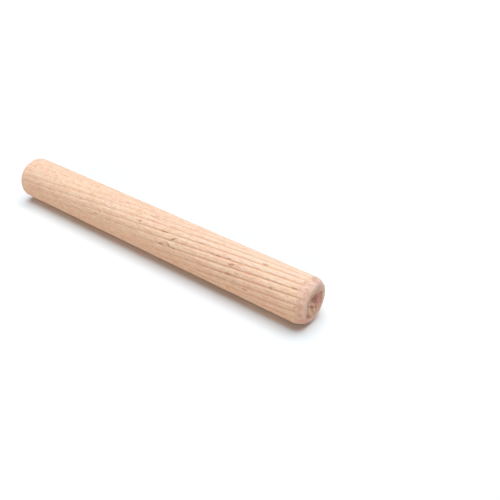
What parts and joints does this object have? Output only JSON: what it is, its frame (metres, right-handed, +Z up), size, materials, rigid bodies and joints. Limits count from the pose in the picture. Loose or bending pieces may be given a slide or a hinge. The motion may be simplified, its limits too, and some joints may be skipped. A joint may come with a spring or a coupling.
{
  "type": "wooden dowel pin",
  "caption": "Straight round beech dowel pin with shallow flutes winding slowly along its side and a rounded chamfer at each flat sawn end, glued into drilled holes to join boards or rails.",
  "frame": {"origin": "on the surface the pin lies on, straight below the middle of its length", "axes": "+X along the pin towards the end that is nearer the camera in the picture, +Z up, +Y to the side"},
  "size_m": [0.1, 0.012, 0.012],
  "materials": {
    "beech": "raw, untreated"
  },
  "bodies": {
    "root": {"dowel_pin": "beech"}
  },
  "joints": []
}
